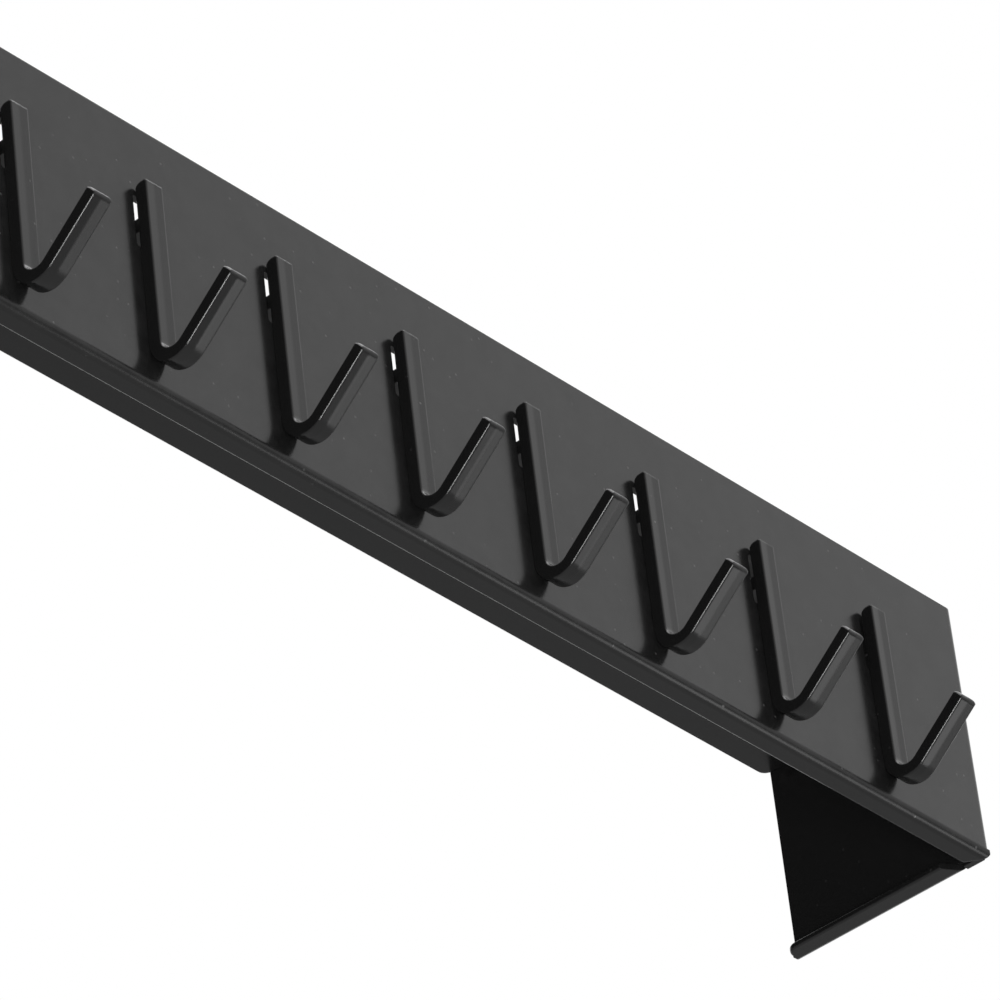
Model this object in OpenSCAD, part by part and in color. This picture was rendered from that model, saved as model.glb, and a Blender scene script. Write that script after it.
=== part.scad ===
// Utensil hanging rack in folded sheet steel with a row of J hooks.
// Units are mm. X runs along the rack, Y runs back towards the wall, Z is up.
// The origin is the middle of the base area: half way along the rack, half way from the
// hook tips to the back edges, and level with the underside of the flanges.
// Inside the modules Y is counted from the front face, and placed() moves it to the origin.

/* [Body] */
// depth from the front face to the back edges
rack_d = 67; // [60:1:110]
// height of the front panel and end plates
panel_h = 81; // [75:0.5:110]
// thickness of every sheet
sheet_t = 2; // [1.5:0.1:2.5]
// inside radius of every fold
fold_r = 0.4; // [0.2:0.1:1.5]
// height of the deck underside above the lower edge
deck_z = 59.1; // [58.5:0.1:62]

/* [Lower flanges] */
// depth of the front flange from the front face
front_flange_d = 6.8; // [6:0.1:12]
// width of the end flanges from the outer face
end_flange_w = 7.2; // [6:0.1:12]
// start of the end flanges behind the front face
end_flange_y = 8.3; // [7:0.1:14]
// sideways trim at the free corner of the front flange
front_trim_x = 4.9; // [3:0.1:6]
// lengthwise trim at the free corner of the end flange
end_trim_y = 4.2; // [2:0.1:5]
// rounding of the back corner of the end flanges
flange_corner_r = 3.6; // [1.6:0.1:4]
// rounding along the free edges of the flanges
edge_r = 0.7; // [0.2:0.1:0.7]
// rounding of the lower front corners of the rack
lower_corner_r = 0.8; // [0.2:0.1:1.5]
// height of the plain foot of the end plates above the underside of the flanges
foot_z = 0.7; // [0:0.1:1.4]

/* [Deck] */
// distance from the front face to the free edge of the long notch
notch_d = 9.8; // [8:0.1:12]
// clearance beside the deck at its back corners
deck_relief_w = 2.6; // [2:0.1:5]
// length of that clearance from the back edge
deck_relief_l = 14; // [8:1:24]
// rounding of the deck corners
deck_corner_r = 3; // [1:0.1:4]

/* [Hooks] */
// number of hooks
hook_n = 10; // [5:1:10]
// distance from hook to hook
hook_spacing = 47; // [35:1:60]
// distance from the outer hooks to the ends of the rack
hook_inset = 40.9; // [25:0.1:60]
// width of the hook bar along the rack
bar_w = 6.2; // [5:0.1:8]
// thickness of the hook bar in its profile
bar_t = 3.8; // [3:0.1:4.5]
// rounding along the edges of the bar
bar_edge_r = 0.5; // [0.3:0.1:1.2]
// height of the top of the hooks
hook_top = 61.4; // [60:0.1:64]
// rounding of the back top corner of a hook
hook_top_r = 2.2; // [1:0.1:2.8]
// height of the centre of the hook bend
bend_z = 12.2; // [10:0.1:16]
// inside radius of the hook bend
bend_r = 3.8; // [2:0.1:5]
// rise of the front leg above level in degrees
rise_angle = 38.5; // [20:0.5:60]
// straight length of the front leg from the bend to its tip
leg_l = 20.6; // [12:0.1:30]
// rounding of the tip in its profile
tip_r = 1.4; // [0.5:0.1:1.4]
// rounding of the two side corners of the tip
tip_side_r = 1; // [0.3:0.1:2]

/* [Slots] */
// width of the opening on each side of the hook
slot_side = 0.9; // [0.5:0.1:3]
// top of the slots, at the deck underside or lower
slot_top = 58.2; // [54:0.1:58.5]
// bottom of the slots
slot_bottom = 42.6; // [38:0.1:44]
// rounding of the slot corners
slot_r = 0.8; // [0.5:0.1:1.5]
// top of the hook tab in the slot
tab_top = 51; // [48:0.1:53]
// height of the hook tab
tab_h = 4; // [3:0.1:4.5]
// reach of the hook tab behind the sheet
tab_reach = 3; // [1:0.1:4]

/* [Hidden] */
$fn = 64;
// share of a whole
half_share = 1 / 2;
double_share = 2;
// overrun of every cut past the faces it goes through
over = 1;
// length of the rack and outside radius of its folds
rack_l = (hook_n - 1) * hook_spacing + double_share * hook_inset;
half_l = rack_l * half_share;
fold_out = fold_r + sheet_t;
// width and height of a slot
slot_w = bar_w + double_share * slot_side;
slot_h = slot_top - slot_bottom;
// hooks with plain deck behind them, two at each end
plain_hooks = 4;
// the long notch ends midway between the second and third hook of each end
notch_l = (hook_n - plain_hooks) * hook_spacing;
// centre line radius and centre of the hook bend
bend_mid = bend_r + bar_t * half_share;
bend_y = -bar_t - bend_r;
sweep_angle = 90 + rise_angle;
// reach of the hook tips in front of the front face
hook_reach = (bend_r + bar_t - tip_r) * sin(rise_angle) + (leg_l - tip_r) * cos(rise_angle) + tip_r - bend_y;
// place of the front face
front_y = (hook_reach - rack_d) * half_share;

// Moves what is built behind the front face to its place over the origin.
module placed() {
    translate([0, front_y, 0])
        children();
}

// Plan of the outer or inner face of the front and ends, open at the back.
module plan(inset, radius) {
    translate([inset - half_l + radius, inset])
        square([rack_l - double_share * (inset + radius), rack_d + over]);
    translate([inset - half_l, inset + radius])
        square([rack_l - double_share * inset, rack_d + over]);
    for (side = [-1, 1])
        translate([side * (half_l - inset - radius), inset + radius])
            circle(r = radius);
}

// Wall band of the front panel and both end plates between two heights.
module walls(z0, z1) {
    translate([0, 0, z0])
        linear_extrude(z1 - z0)
            intersection() {
                difference() {
                    plan(0, fold_out);
                    plan(sheet_t, fold_r);
                }
                translate([-half_l, 0])
                    square([rack_l, rack_d]);
            }
}

// Section of a flat sheet from its start to its rounded free edge.
module sheet_profile(start, reach) {
    translate([start, 0])
        square([reach - start - edge_r, sheet_t]);
    translate([start, edge_r])
        square([reach - start, sheet_t - double_share * edge_r]);
    for (height = [edge_r, sheet_t - edge_r])
        translate([reach - edge_r, height])
            circle(r = edge_r);
}

// Profile of a fold and its flange: the wall is at the left, the flange runs to the right.
module fold_profile(reach) {
    difference() {
        union() {
            sheet_profile(fold_out, reach);
            intersection() {
                translate([fold_out, fold_out])
                    circle(r = fold_out);
                square([fold_out, fold_out]);
            }
        }
        translate([fold_out, fold_out])
            circle(r = fold_r);
    }
}

// Front fold and flange, trimmed at both ends.
module front_flange() {
    intersection() {
        translate([-half_l, 0, 0])
            rotate([90, 0, 90])
                linear_extrude(rack_l)
                    fold_profile(front_flange_d);
        linear_extrude(fold_out)
            intersection() {
                plan(0, lower_corner_r);
                polygon([
                    [-half_l, 0],
                    [half_l, 0],
                    [half_l - front_trim_x, front_flange_d],
                    [front_trim_x - half_l, front_flange_d]
                ]);
            }
    }
}

// Fold and flange of the end plate at positive X. The rounded back corner of the flange
// carries its rounded free edge round with it.
module end_flange() {
    free_x = half_l - end_flange_w;
    corner_x = free_x + flange_corner_r;
    corner_y = rack_d - flange_corner_r;
    intersection() {
        translate([half_l, rack_d, 0])
            rotate([90, 0, 0])
                mirror([1, 0, 0])
                    linear_extrude(rack_d)
                        fold_profile(end_flange_w);
        union() {
            linear_extrude(fold_out)
                polygon([
                    [half_l, end_flange_y],
                    [half_l, rack_d],
                    [corner_x, rack_d],
                    [corner_x, corner_y],
                    [free_x, corner_y],
                    [free_x, end_flange_y + end_trim_y]
                ]);
            translate([corner_x, corner_y, 0])
                rotate_extrude()
                    sheet_profile(0, flange_corner_r);
        }
    }
}

// Foot of the end plates in front of their flanges, straight down to its plain edge.
module plain_feet() {
    intersection() {
        walls(foot_z, fold_out);
        translate([-half_l, fold_out, 0])
            cube([rack_l, end_flange_y - fold_out, fold_out]);
    }
}

// Slots behind the hooks with rounded corners.
module slots() {
    for (i = [0 : hook_n - 1])
        translate([hook_x(i), 0, slot_bottom + slot_h * half_share])
            rotate([-90, 0, 0])
                translate([0, 0, -over])
                    linear_extrude(sheet_t + double_share * over)
                        rounded_rect(slot_w, slot_h, slot_r);
}

// Rectangle about its centre with rounded corners.
module rounded_rect(w, h, radius) {
    square([w - double_share * radius, h], center = true);
    square([w, h - double_share * radius], center = true);
    for (sx = [-1, 1])
        for (sy = [-1, 1])
            translate([sx * (w * half_share - radius), sy * (h * half_share - radius)])
                circle(r = radius);
}

// Place of a hook along the rack, counted from zero at negative X.
function hook_x(i) = hook_inset - half_l + i * hook_spacing;

// One folded sheet: front panel, end plates, flanges and the slots behind the hooks.
module folded_body() {
    color("#3b3c3f")
        placed()
            difference() {
                union() {
                    walls(fold_out, panel_h);
                    front_flange();
                    plain_feet();
                    end_flange();
                    mirror([1, 0, 0])
                        end_flange();
                }
                slots();
            }
}

// Deck sheet between the end plates with the long notch behind the middle hooks.
module deck_plate() {
    inner_l = rack_l - double_share * sheet_t;
    color("#323337")
        placed()
            translate([0, 0, deck_z])
                linear_extrude(sheet_t)
                    difference() {
                        union() {
                            translate([-inner_l * half_share, sheet_t + fold_r])
                                square([inner_l, rack_d - deck_relief_l - sheet_t - fold_r]);
                            translate([fold_r - inner_l * half_share, sheet_t])
                                square([inner_l - double_share * fold_r, fold_r]);
                            for (side = [-1, 1])
                                translate([side * (inner_l * half_share - fold_r), sheet_t + fold_r])
                                    circle(r = fold_r);
                            translate([0, rack_d - deck_relief_l * half_share - deck_corner_r])
                                rounded_rect(inner_l - double_share * deck_relief_w,
                                             deck_relief_l + double_share * deck_corner_r, deck_corner_r);
                        }
                        translate([-notch_l * half_share, 0])
                            square([notch_l, notch_d]);
                    }
}

// Section of the hook bar, centred.
module bar_section() {
    rounded_rect(bar_w, bar_t, bar_edge_r);
}

// Upright rectangle on the X axis with its two upper corners rounded.
module round_topped(w, h, radius) {
    translate([-w * half_share, 0])
        square([w, h - radius]);
    translate([radius - w * half_share, 0])
        square([w - double_share * radius, h]);
    for (side = [-1, 1])
        translate([side * (w * half_share - radius), h - radius])
            circle(r = radius);
}

// Front leg standing on its foot, its tip rounded in profile and in width.
module front_leg() {
    intersection() {
        linear_extrude(leg_l)
            bar_section();
        rotate([90, 0, 90])
            translate([0, 0, -bar_w])
                linear_extrude(bar_w * double_share)
                    round_topped(bar_t, leg_l, tip_r);
        rotate([90, 0, 0])
            translate([0, 0, -bar_t])
                linear_extrude(bar_t * double_share)
                    round_topped(bar_w, leg_l, tip_side_r);
    }
}

// Corner that is cut away behind the top of a hook.
module top_corner() {
    translate([-bar_w, -hook_top_r, hook_top - hook_top_r])
        difference() {
            cube([double_share * bar_w, hook_top_r + over, hook_top_r + over]);
            translate([-over, 0, 0])
                rotate([0, 90, 0])
                    cylinder(r = hook_top_r, h = double_share * (bar_w + over));
        }
}

// One hook at X = 0: back leg, bend, front leg and the tab through the slot.
module hook() {
    difference() {
        union() {
            translate([0, -bar_t * half_share, bend_z])
                linear_extrude(hook_top - bend_z)
                    bar_section();
            translate([0, bend_y, bend_z])
                rotate([90, 0, 90])
                    mirror([0, 1, 0])
                        rotate_extrude(angle = sweep_angle)
                            translate([bend_mid, 0])
                                rotate(90)
                                    bar_section();
            translate([0, bend_y, bend_z])
                rotate([90 - rise_angle, 0, 0])
                    translate([0, -bend_mid, 0]) {
                        front_leg();
                        // core across the plane where the bend and the leg meet
                        cube([bar_w, bar_t, bar_t] * half_share, center = true);
                    }
            translate([-bar_w * half_share, -bar_t * half_share, tab_top - tab_h])
                cube([bar_w, bar_t * half_share + sheet_t + tab_reach, tab_h]);
        }
        top_corner();
    }
}

// Hook of a given place, left out where the rack has fewer hooks.
module hook_at(i) {
    if (i < hook_n)
        color("#2c2d30")
            placed()
                translate([hook_x(i), 0, 0])
                    hook();
}

folded_body();
deck_plate();
hook_at(0);  // hook_01
hook_at(1);  // hook_02
hook_at(2);  // hook_03
hook_at(3);  // hook_04
hook_at(4);  // hook_05
hook_at(5);  // hook_06
hook_at(6);  // hook_07
hook_at(7);  // hook_08
hook_at(8);  // hook_09
hook_at(9);  // hook_10
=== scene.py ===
"""Studio picture of a utensil hanging rack: folded black sheet steel with a row of bar hooks.

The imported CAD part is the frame. This script gives every CAD node its powder coat, sets up a
plain soft studio and puts the camera low at the left, looking up along the rack.
"""
import logging
import math
from dataclasses import dataclass, field
from enum import Enum
from typing import Sequence

import bpy
from mathutils import Matrix, Vector


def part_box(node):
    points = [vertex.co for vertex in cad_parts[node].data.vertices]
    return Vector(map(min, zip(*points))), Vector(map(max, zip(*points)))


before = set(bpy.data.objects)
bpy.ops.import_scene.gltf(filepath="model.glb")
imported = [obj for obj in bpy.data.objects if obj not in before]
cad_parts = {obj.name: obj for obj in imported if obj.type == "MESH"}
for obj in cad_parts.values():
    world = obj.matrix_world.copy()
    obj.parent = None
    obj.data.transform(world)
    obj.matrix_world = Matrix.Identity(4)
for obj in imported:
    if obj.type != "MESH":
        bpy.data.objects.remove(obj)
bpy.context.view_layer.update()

LOG = logging.getLogger("rack")
MM = 0.001
WHITE = "#ffffff"
COAT_BLACK = "#191919"
HOOK_NODES = sorted(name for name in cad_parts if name.startswith("hook_"))


class Sum(Enum):
    """What a math or vector math node works out from its inputs."""

    ADD = "ADD"
    SUBTRACT = "SUBTRACT"
    MULTIPLY = "MULTIPLY"
    MULTIPLY_ADD = "MULTIPLY_ADD"
    LESS_THAN = "LESS_THAN"
    LARGER = "MAXIMUM"
    SMOOTH_SMALLER = "SMOOTH_MIN"
    WRAP = "WRAP"
    DOT = "DOT_PRODUCT"


def to_linear(code: str) -> tuple[float, float, float, float]:
    """Turns a hex sRGB colour into the linear colour that a shader takes.

    The numbers in it are those of the sRGB standard's own curve.

    Args:
        code: Colour such as "#3b3c3f".

    Returns:
        Red, green, blue and alpha, linear.
    """
    parts = [int(code[i:i + 2], 16) / 255 for i in (1, 3, 5)]
    lin = [c / 12.92 if c <= 0.04045 else ((c + 0.055) / 1.055) ** 2.4 for c in parts]
    return (lin[0], lin[1], lin[2], 1.0)


def add_node(
    tree: bpy.types.NodeTree,
    kind: str,
    inputs: dict | None = None,
    **settings: object,
) -> bpy.types.Node:
    """Adds one node to a tree.

    Args:
        tree: Node tree that gets the node.
        kind: Blender's name of the node type.
        inputs: Input name or index to a plain value, or to an output socket that is linked to it.
        **settings: Properties of the node itself, as plain values or members of an Enum.

    Returns:
        The new node.
    """
    node = tree.nodes.new(kind)
    for key, value in settings.items():
        setattr(node, key, value.value if isinstance(value, Enum) else value)
    for key, value in (inputs or {}).items():
        if isinstance(value, bpy.types.NodeSocket):
            tree.links.new(value, node.inputs[key])
        else:
            node.inputs[key].default_value = value
    return node


def seen_directly(tree: bpy.types.NodeTree) -> bpy.types.NodeSocket:
    """Tells the camera's own rays, and those that pass through glass, from all others.

    Args:
        tree: Node tree of the paper or the world.

    Returns:
        1 for such a ray and 0 for any other.
    """
    rays = add_node(tree, "ShaderNodeLightPath").outputs
    return add_node(tree, "ShaderNodeMath", {
        0: rays["Is Camera Ray"], 1: rays["Is Transmission Ray"]},
        operation=Sum.LARGER).outputs["Value"]


def middle_x(node: str) -> float:
    """Finds the middle of a CAD node along the rack.

    Args:
        node: Name of the CAD node.

    Returns:
        X of its middle in metres.
    """
    low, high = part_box(node)
    return (low.x + high.x) / 2


@dataclass(frozen=True)
class PowderCoat:
    """Polyester powder coat baked on steel sheet: satin, with fine orange peel and stray dust.

    Attributes:
        name: Name of the material.
        colour: Hex sRGB colour of the coat.
        roughness: Roughness of the satin surface.
        drift_mm: Distance over which the film's thickness drifts, in mm.
        drift_octaves: Layers of the noise that draws the drift.
        drift_step: How much duller or glossier the drift makes the coat.
        peel_mm: Size of the orange peel's bumps in mm.
        peel_octaves: Layers of the noise that draws the bumps.
        peel_depth_mm: Height of those bumps in mm.
        edge_mm: Rounding of the coat over sharp edges in mm.
        edge_samples: Samples taken for that rounding.
        dust_colour: Hex sRGB colour of the haze and the dust specks.
        front_y: Y of the normal up to which a face is the front, and from which it isn't.
        sheltered_share: Share of the haze and specks on faces that aren't the front, 0 to 1.
        cloud_mm: Size of the largest clouds in the haze in mm.
        cloud_octaves: Layers of the noise that draws the clouds and the grain in them.
        cloud_gain: Strength of each finer layer against the one before it.
        cloud_range: Values of that noise between which the haze rises from none to full.
        haze_share: Strength of the haze, 0 to 1.
        speck_mm: Distance between dust specks in mm.
        speck_share: Share of those places that hold a speck, 0 to 1.
        speck_radii: Radius of a speck's full middle and of its rim, as shares of that distance.
        speck_strength: Strength of the palest speck, 0 to 1.
    """

    name: str
    colour: str = COAT_BLACK
    roughness: float = 0.21
    drift_mm: float = 60.0
    drift_octaves: float = 1.0
    drift_step: float = 0.06
    peel_mm: float = 0.7
    peel_octaves: float = 2.0
    peel_depth_mm: float = 0.012
    edge_mm: float = 0.4
    edge_samples: int = 4
    dust_colour: str = "#b4b4b4"
    front_y: tuple[float, float] = (-0.7, -0.2)
    sheltered_share: float = 0.05
    cloud_mm: float = 10.0
    cloud_octaves: float = 5.0
    cloud_gain: float = 0.8
    cloud_range: tuple[float, float] = (0.35, 0.65)
    haze_share: float = 0.022
    speck_mm: float = 4.0
    speck_share: float = 0.6
    speck_radii: tuple[float, float] = (0.06, 0.12)
    speck_strength: float = 0.9

    def build(self) -> bpy.types.Material:
        """Makes the node material.

        Returns:
            The material.
        """
        mat = bpy.data.materials.new(self.name)
        mat.use_nodes = True
        tree = mat.node_tree
        tree.nodes.clear()
        surface = add_node(tree, "ShaderNodeNewGeometry")
        place = surface.outputs["Position"]
        # the powder draws back from sharp edges as it melts, so each one is softly rounded
        edge = add_node(
            tree, "ShaderNodeBevel", {"Radius": self.edge_mm * MM}, samples=self.edge_samples)
        shape = self.form(tree, place, edge.outputs["Normal"])
        shader = add_node(tree, "ShaderNodeBsdfPrincipled", {
            "Base Color": self.tint(tree, place, surface.outputs["Normal"]),
            "Roughness": self.sheen(tree, place, self.film(tree, place)),
            "Normal": self.peel(tree, place, shape)})
        out = add_node(tree, "ShaderNodeOutputMaterial")
        tree.links.new(shader.outputs["BSDF"], out.inputs["Surface"])
        return mat

    def form(self, tree: bpy.types.NodeTree, place: bpy.types.NodeSocket,
             normal: bpy.types.NodeSocket) -> bpy.types.NodeSocket:
        """Leaves the metal's own faces as they are; a coat on other stock may shape them.

        Args:
            tree: Node tree of the material.
            place: Position in metres.
            normal: Normal with the edges rounded.

        Returns:
            Normal of the metal under the coat.
        """
        return normal

    def peel(self, tree: bpy.types.NodeTree, place: bpy.types.NodeSocket,
             normal: bpy.types.NodeSocket) -> bpy.types.NodeSocket:
        """Makes the fine orange peel of baked powder, which gives the reflections a soft grain.

        Args:
            tree: Node tree of the material.
            place: Position in metres.
            normal: Normal of the metal under the coat.

        Returns:
            Normal of the coat.
        """
        bumps = add_node(tree, "ShaderNodeTexNoise", {
            "Vector": place, "Scale": 1 / (self.peel_mm * MM), "Detail": self.peel_octaves})
        return add_node(tree, "ShaderNodeBump", {
            "Height": bumps.outputs["Fac"], "Strength": 1.0,
            "Distance": self.peel_depth_mm * MM, "Normal": normal}).outputs["Normal"]

    def film(self, tree: bpy.types.NodeTree, place: bpy.types.NodeSocket) -> bpy.types.NodeSocket:
        """Lets the film's thickness drift over a hand's width, so large patches are duller.

        Args:
            tree: Node tree of the material.
            place: Position in metres.

        Returns:
            Roughness with the drift of the film.
        """
        drift = add_node(tree, "ShaderNodeTexNoise", {
            "Vector": place, "Scale": 1 / (self.drift_mm * MM), "Detail": self.drift_octaves})
        return add_node(tree, "ShaderNodeMapRange", {
            "Value": drift.outputs["Fac"], "From Min": 0.0, "From Max": 1.0,
            "To Min": self.roughness - self.drift_step,
            "To Max": self.roughness + self.drift_step}).outputs["Result"]

    def sheen(self, tree: bpy.types.NodeTree, place: bpy.types.NodeSocket,
              rough: bpy.types.NodeSocket) -> bpy.types.NodeSocket:
        """Leaves the gloss as it is; a coat on other stock may change it from face to face.

        Args:
            tree: Node tree of the material.
            place: Position in metres.
            rough: Roughness with the drift of the film.

        Returns:
            Roughness of the coat.
        """
        return rough

    def tint(self, tree: bpy.types.NodeTree, place: bpy.types.NodeSocket,
             normal: bpy.types.NodeSocket) -> bpy.types.NodeSocket:
        """Colours the coat, with haze and specks on the face that was uppermost in the oven.

        Args:
            tree: Node tree of the material.
            place: Position in metres.
            normal: Plain normal of the surface.

        Returns:
            Colour of the coat.
        """
        pale = add_node(tree, "ShaderNodeMath", {
            0: self.haze(tree, place), 1: self.dust(tree, place)}, operation=Sum.ADD)
        facing = add_node(tree, "ShaderNodeSeparateXYZ", {"Vector": normal})
        upper = add_node(tree, "ShaderNodeMapRange", {
            "Value": facing.outputs["Y"], "From Min": self.front_y[0], "From Max": self.front_y[1],
            "To Min": 1.0, "To Max": self.sheltered_share})
        share = add_node(tree, "ShaderNodeMath", {
            0: pale.outputs["Value"], 1: upper.outputs["Result"]}, operation=Sum.MULTIPLY)
        mix = add_node(tree, "ShaderNodeMix", data_type="RGBA", inputs={
            "Factor": share.outputs["Value"],
            6: to_linear(self.colour), 7: to_linear(self.dust_colour)})
        return mix.outputs[2]

    def haze(self, tree: bpy.types.NodeTree, place: bpy.types.NodeSocket) -> bpy.types.NodeSocket:
        """Makes the pale haze of matting agent that isn't spread quite evenly.

        It shows as soft clouds with fine grain. The real grains are under 0.1 mm and are drawn
        coarser, so that they show.

        Args:
            tree: Node tree of the material.
            place: Position in metres.

        Returns:
            Share of pale haze at each point.
        """
        grain = add_node(tree, "ShaderNodeTexNoise", {
            "Vector": place, "Scale": 1 / (self.cloud_mm * MM), "Detail": self.cloud_octaves,
            "Roughness": self.cloud_gain})
        return add_node(tree, "ShaderNodeMapRange", {
            "Value": grain.outputs["Fac"],
            "From Min": self.cloud_range[0], "From Max": self.cloud_range[1],
            "To Min": 0.0, "To Max": self.haze_share}).outputs["Result"]

    def dust(self, tree: bpy.types.NodeTree, place: bpy.types.NodeSocket) -> bpy.types.NodeSocket:
        """Makes pale dust specks caught in the film: small dots, far apart, some stronger.

        Args:
            tree: Node tree of the material.
            place: Position in metres.

        Returns:
            Share of pale dust at each point.
        """
        cells = add_node(tree, "ShaderNodeTexVoronoi", {
            "Vector": place, "Scale": 1 / (self.speck_mm * MM), "Randomness": 1.0})
        dot = add_node(tree, "ShaderNodeMapRange", {
            "Value": cells.outputs["Distance"],
            "From Min": self.speck_radii[0], "From Max": self.speck_radii[1],
            "To Min": self.speck_strength, "To Max": 0.0})
        pick = add_node(tree, "ShaderNodeSeparateColor", {"Color": cells.outputs["Color"]})
        chosen = add_node(tree, "ShaderNodeMath", {
            0: pick.outputs["Red"], 1: self.speck_share}, operation=Sum.LESS_THAN)
        strength = add_node(tree, "ShaderNodeMath", {
            0: chosen.outputs["Value"], 1: pick.outputs["Green"]}, operation=Sum.MULTIPLY)
        return add_node(tree, "ShaderNodeMath", {
            0: dot.outputs["Result"], 1: strength.outputs["Value"]},
            operation=Sum.MULTIPLY).outputs["Value"]


@dataclass(frozen=True)
class BarCoat(PowderCoat):
    """The same coat, run smoother and glossier on the thick hook bars.

    The bar was pressed into a very shallow V, so the faces inside the hook have two flats with a
    soft groove between them, and the faces outside it have the same two with a soft ridge.

    Attributes:
        rough_step: How much rougher the right flat is, which the shear tore.
        first_x: Middle of the first bar in metres.
        spacing: Distance from bar to bar in metres.
        ridge_mm: Place of the groove and ridge between the flats, from the middle of the bar in mm.
        left_lean: Lean of the left flat in degrees.
        right_lean: Lean of the right flat in degrees.
        ridge_soft_mm: Half width of the soft groove and ridge in mm.
        outside_z: Z of the normal below which a face lies outside the hook.
    """

    roughness: float = 0.14
    peel_depth_mm: float = 0.002
    edge_mm: float = 0.7
    edge_samples: int = 12
    haze_share: float = 0.006
    speck_share: float = 0.2
    rough_step: float = 0.12
    first_x: float = 0.0
    spacing: float = 0.047
    ridge_mm: float = -0.2
    left_lean: float = 2.5
    right_lean: float = 3.5
    ridge_soft_mm: float = 0.7
    outside_z: float = -0.3

    def form(self, tree: bpy.types.NodeTree, place: bpy.types.NodeSocket,
             normal: bpy.types.NodeSocket) -> bpy.types.NodeSocket:
        """Shapes the two flats of the narrow faces.

        Args:
            tree: Node tree of the material.
            place: Position in metres.
            normal: Normal with the edges rounded.

        Returns:
            Normal of the metal under the coat.
        """
        across = self._across(tree, place)
        rise = math.tan(math.radians(self.left_lean))
        fall = math.tan(math.radians(self.right_lean))
        left = add_node(tree, "ShaderNodeMath", {0: across, 1: rise}, operation=Sum.MULTIPLY)
        right = add_node(tree, "ShaderNodeMath", {0: across, 1: -fall}, operation=Sum.MULTIPLY)
        height = add_node(tree, "ShaderNodeMath", {
            0: left.outputs["Value"], 1: right.outputs["Value"],
            2: self.ridge_soft_mm * MM * (rise + fall)}, operation=Sum.SMOOTH_SMALLER)
        facing = add_node(tree, "ShaderNodeSeparateXYZ", {
            "Vector": add_node(tree, "ShaderNodeNewGeometry").outputs["Normal"]})
        outside = add_node(tree, "ShaderNodeMath", {
            0: facing.outputs["Z"], 1: self.outside_z}, operation=Sum.LESS_THAN)
        # 1 outside the hook, which keeps the ridge, and -1 inside it, which makes it a groove
        sign = add_node(tree, "ShaderNodeMath", {
            0: outside.outputs["Value"], 1: 2.0, 2: -1.0}, operation=Sum.MULTIPLY_ADD)
        signed = add_node(tree, "ShaderNodeMath", {
            0: height.outputs["Value"], 1: sign.outputs["Value"]}, operation=Sum.MULTIPLY)
        return add_node(tree, "ShaderNodeBump", {
            "Height": signed.outputs["Value"], "Strength": 1.0, "Distance": 1.0,
            "Normal": normal}).outputs["Normal"]

    def sheen(self, tree: bpy.types.NodeTree, place: bpy.types.NodeSocket,
              rough: bpy.types.NodeSocket) -> bpy.types.NodeSocket:
        """Makes the right flats a little rougher than the left ones.

        Args:
            tree: Node tree of the material.
            place: Position in metres.
            rough: Roughness with the drift of the film.

        Returns:
            Roughness of the coat.
        """
        soft = self.ridge_soft_mm * MM
        step = add_node(tree, "ShaderNodeMapRange", {
            "Value": self._across(tree, place), "From Min": -soft, "From Max": soft,
            "To Min": 0.0, "To Max": self.rough_step})
        return add_node(tree, "ShaderNodeMath", {
            0: rough, 1: step.outputs["Result"]}, operation=Sum.ADD).outputs["Value"]

    def _across(self, tree: bpy.types.NodeTree, place: bpy.types.NodeSocket) -> bpy.types.NodeSocket:
        """Finds how far a point lies to the right of the ridge of its own bar.

        Args:
            tree: Node tree of the material.
            place: Position in metres.

        Returns:
            Distance in metres, below zero on the left flat.
        """
        axes = add_node(tree, "ShaderNodeSeparateXYZ", {"Vector": place})
        wrapped = add_node(tree, "ShaderNodeMath", {
            0: axes.outputs["X"], 1: self.first_x + self.spacing / 2,
            2: self.first_x - self.spacing / 2}, operation=Sum.WRAP)
        ridge = self.first_x + self.ridge_mm * MM
        return add_node(tree, "ShaderNodeMath", {
            0: wrapped.outputs["Value"], 1: ridge}, operation=Sum.SUBTRACT).outputs["Value"]


@dataclass(frozen=True)
class StudioPaper:
    """Seamless pale paper: dull and even, and a little paler to the camera than to the object.

    Attributes:
        name: Name of the material.
        colour: Hex sRGB colour of the paper.
        roughness: Roughness of the dull surface.
        glow: Strength that only the camera sees, which keeps the object's shadow.
    """

    name: str
    colour: str
    roughness: float = 0.9
    glow: float = 0.25

    def build(self) -> bpy.types.Material:
        """Makes the node material.

        Returns:
            The material.
        """
        mat = bpy.data.materials.new(self.name)
        mat.use_nodes = True
        tree = mat.node_tree
        tree.nodes.clear()
        shader = add_node(tree, "ShaderNodeBsdfPrincipled", {
            "Base Color": to_linear(self.colour), "Roughness": self.roughness})
        strength = add_node(tree, "ShaderNodeMath", {
            0: seen_directly(tree), 1: self.glow}, operation=Sum.MULTIPLY)
        pale = add_node(tree, "ShaderNodeEmission", {
            "Color": to_linear(WHITE), "Strength": strength.outputs["Value"]})
        both = add_node(tree, "ShaderNodeAddShader", {
            0: shader.outputs["BSDF"], 1: pale.outputs["Emission"]})
        out = add_node(tree, "ShaderNodeOutputMaterial")
        tree.links.new(both.outputs["Shader"], out.inputs["Surface"])
        return mat


@dataclass
class CoatedNodes:
    """CAD nodes that share one powder coat.

    Attributes:
        title: Words for the log.
        nodes: Names of the CAD nodes.
        coat: Their finish.
    """

    title: str
    nodes: Sequence[str]
    coat: PowderCoat

    def dress(self) -> None:
        """Puts the coat on every material slot of the nodes."""
        material = self.coat.build()
        for name in self.nodes:
            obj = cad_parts[name]
            obj.data.materials.clear()
            obj.data.materials.append(material)
            LOG.info("%s: %s coated", self.title, name)


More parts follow.
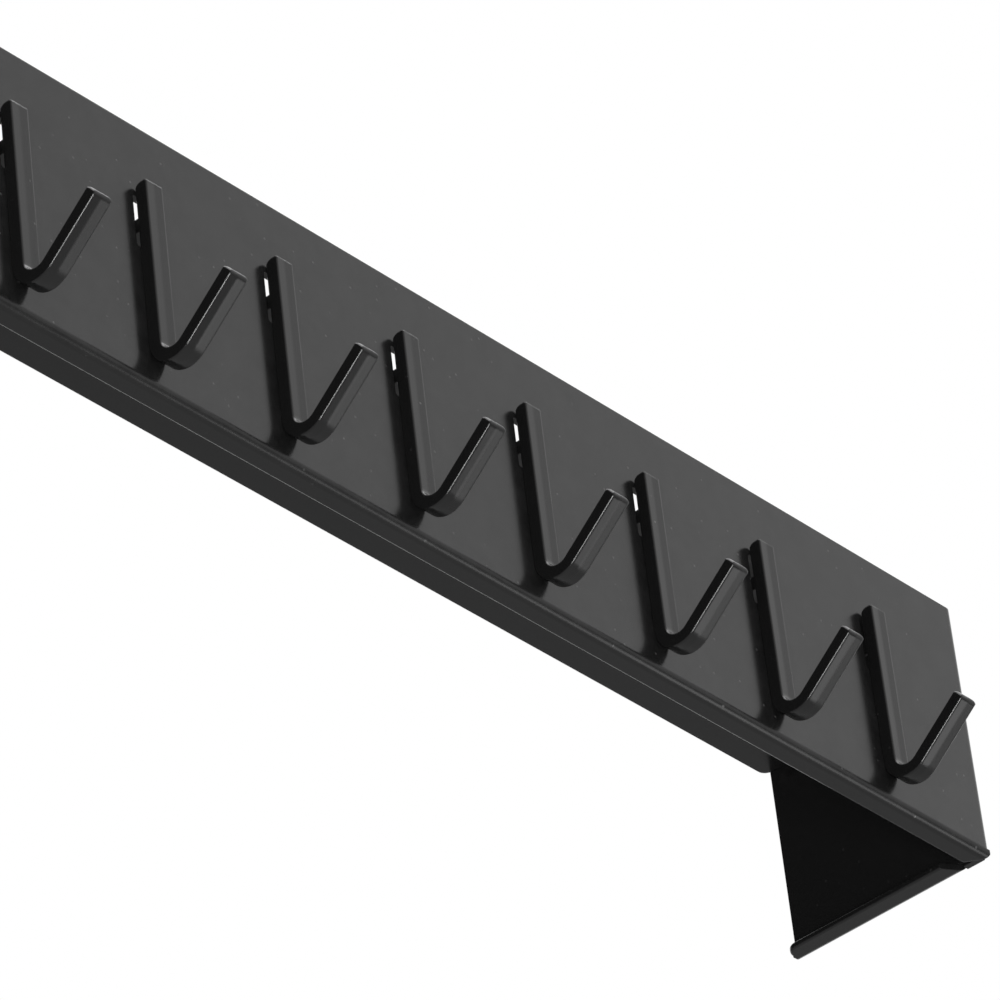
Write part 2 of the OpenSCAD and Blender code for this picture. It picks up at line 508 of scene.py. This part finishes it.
@dataclass
class SoftBox:
    """One large soft lamp.

    Attributes:
        name: Name of the lamp.
        place: Position in the row frame, in metres.
        size: Width and height in metres.
        power: Light output in watts.
        target: Point that the lamp faces, in metres: the middle of the rack.
    """

    name: str
    place: Vector
    size: tuple[float, float]
    power: float
    target: Vector = field(default_factory=lambda: Vector((0, 0, 0.04)))

    def build(self) -> None:
        """Adds the lamp to the scene."""
        lamp = bpy.data.lights.new(self.name, "AREA")
        lamp.shape = "RECTANGLE"
        lamp.size, lamp.size_y = self.size
        lamp.energy = self.power
        obj = bpy.data.objects.new(self.name, lamp)
        obj.location = self.place
        obj.rotation_euler = (self.target - self.place).to_track_quat("-Z", "Y").to_euler()
        obj.visible_camera = False
        bpy.context.scene.collection.objects.link(obj)
        LOG.info("lamp %s: %.1f W", self.name, self.power)


@dataclass
class Studio:
    """Pale floor, white surroundings and soft lamps.

    Attributes:
        floor_z: Height of the floor in metres, below the camera.
        floor_size: Length and width of the floor in metres.
        floor_colour: Hex sRGB colour of the floor's paper.
        flag: Level direction of the black flag, at the back left.
        flag_edge: Share of the way to the flag at which it begins, and at which it is full.
        backdrop: Level direction of the white backdrop, at the back right.
        backdrop_edge: Share of the way to the backdrop at which it begins, and is full.
        dark_level: Strength of the flag on the object.
        room_level: Strength of the pale room on the object.
        white_level: Strength of the backdrop to glossy rays.
        lamps: The soft lamps.
    """

    floor_z: float = -2.6
    floor_size: float = 30.0
    floor_colour: str = "#e0e0e0"
    flag: Vector = field(default_factory=lambda: Vector((-0.93, 0.37, 0.0)))
    flag_edge: tuple[float, float] = (0.0, 0.5)
    backdrop: Vector = field(default_factory=lambda: Vector((0.79, 0.61, 0.0)))
    backdrop_edge: tuple[float, float] = (0.25, 0.6)
    dark_level: float = 0.02
    room_level: float = 0.58
    white_level: float = 1.0
    lamps: list[SoftBox] = field(default_factory=list)

    def build(self) -> None:
        """Adds floor, world and lamps."""
        bpy.ops.mesh.primitive_plane_add(size=self.floor_size, location=(0, 0, self.floor_z))
        floor = bpy.context.object
        floor.name = "floor"
        floor.data.materials.append(StudioPaper("pale_paper", self.floor_colour).build())
        self._world()
        for lamp in self.lamps:
            lamp.build()
        LOG.info("studio: floor at %.2f m", self.floor_z)

    def _world(self) -> None:
        """Makes the surroundings: a white backdrop at the back right, a pale room, a black flag.

        The camera sees plain white everywhere. Glossy rays alone find the same white in the
        backdrop, so the coat mirrors it and gets no more light from it. The flag on the other
        side keeps the bars' left faces dark.
        """
        world = bpy.data.worlds.new("surroundings")
        bpy.context.scene.world = world
        world.use_nodes = True
        tree = world.node_tree
        tree.nodes.clear()
        way = add_node(tree, "ShaderNodeTexCoord").outputs["Generated"]
        to_flag = add_node(tree, "ShaderNodeVectorMath", {0: way, 1: self.flag}, operation=Sum.DOT)
        to_white = add_node(
            tree, "ShaderNodeVectorMath", {0: way, 1: self.backdrop}, operation=Sum.DOT)
        mirrored = add_node(tree, "ShaderNodeMath", {
            0: add_node(tree, "ShaderNodeLightPath").outputs["Is Glossy Ray"],
            1: self.white_level - self.room_level, 2: self.room_level},
            operation=Sum.MULTIPLY_ADD)
        lit = add_node(tree, "ShaderNodeMapRange", {
            "Value": to_white.outputs["Value"],
            "From Min": self.backdrop_edge[0], "From Max": self.backdrop_edge[1],
            "To Min": self.room_level, "To Max": mirrored.outputs["Value"]},
            interpolation_type="SMOOTHSTEP")
        level = add_node(tree, "ShaderNodeMapRange", {
            "Value": to_flag.outputs["Value"],
            "From Min": self.flag_edge[0], "From Max": self.flag_edge[1],
            "To Min": lit.outputs["Result"], "To Max": self.dark_level},
            interpolation_type="SMOOTHSTEP")
        white = add_node(tree, "ShaderNodeBackground", {"Color": to_linear(WHITE), "Strength": 1.0})
        room = add_node(tree, "ShaderNodeBackground", {
            "Color": to_linear(WHITE), "Strength": level.outputs["Result"]})
        mix = add_node(tree, "ShaderNodeMixShader", {
            "Fac": seen_directly(tree), 1: room.outputs["Background"],
            2: white.outputs["Background"]})
        out = add_node(tree, "ShaderNodeOutputWorld")
        tree.links.new(mix.outputs["Shader"], out.inputs["Surface"])


@dataclass
class PhotoCamera:
    """Long lens, low at the left end, looking up along the rack.

    Attributes:
        place: Position in the row frame, in metres.
        azimuth: Direction of view from +Y towards +X, in degrees.
        elevation: Direction of view above level, in degrees.
        roll: Turn of the camera about its view, in degrees.
        lens: Focal length in mm.
        sensor_mm: Width of the sensor in mm.
        reach: Furthest distance that the camera sees, in metres.
    """

    place: Vector
    azimuth: float
    elevation: float
    roll: float
    lens: float
    sensor_mm: float = 36.0
    reach: float = 100.0

    def build(self) -> None:
        """Adds the camera and makes it the scene's own."""
        data = bpy.data.cameras.new("camera")
        data.sensor_width = self.sensor_mm
        data.lens = self.lens
        data.clip_end = self.reach
        data.dof.use_dof = False
        camera = bpy.data.objects.new("camera", data)
        bpy.context.scene.collection.objects.link(camera)
        # a camera that isn't turned looks straight down, so 90 degrees make it level
        turn = (Matrix.Rotation(math.radians(-self.azimuth), 4, "Z")
                @ Matrix.Rotation(math.radians(90 + self.elevation), 4, "X")
                @ Matrix.Rotation(math.radians(self.roll), 4, "Z"))
        camera.matrix_world = Matrix.Translation(self.place) @ turn
        bpy.context.scene.camera = camera
        LOG.info("camera: %.0f mm lens", self.lens)


def main() -> None:
    """Builds the looks, the studio and the camera."""
    logging.basicConfig(level=logging.INFO, format="%(message)s")
    scene = bpy.context.scene
    scene.view_settings.view_transform = "Standard"
    CoatedNodes("body", ["folded_body"], PowderCoat("satin_powder_coat_on_folded_sheet")).dress()
    CoatedNodes("deck", ["deck_plate"], PowderCoat("satin_powder_coat_on_flat_sheet")).dress()
    first, last = middle_x(HOOK_NODES[0]), middle_x(HOOK_NODES[-1])
    CoatedNodes("hooks", HOOK_NODES, BarCoat(
        "glossier_powder_coat_on_cut_bar",
        first_x=first,
        spacing=(last - first) / (len(HOOK_NODES) - 1),
    )).dress()
    Studio(lamps=[
        SoftBox("key", place=Vector((3.75, -3.5, 3.5)), size=(3.7, 2.6), power=7.5),
        SoftBox("top", place=Vector((0.3, -0.3, 2.6)), size=(2.4, 2.4), power=30),
        SoftBox("low", place=Vector((1.36, -0.88, -0.99)), size=(0.5, 0.6), power=1.5),
        SoftBox("front", place=Vector((-1.35, -1.05, -1.15)), size=(0.7, 0.7), power=26),
    ]).build()
    PhotoCamera(
        place=Vector((-1.17816, -0.97230, -1.07242)),
        azimuth=52.3501,
        elevation=35.1854,
        roll=-6.9692,
        lens=270.816,
    ).build()


if __name__ == "__main__":
    main()
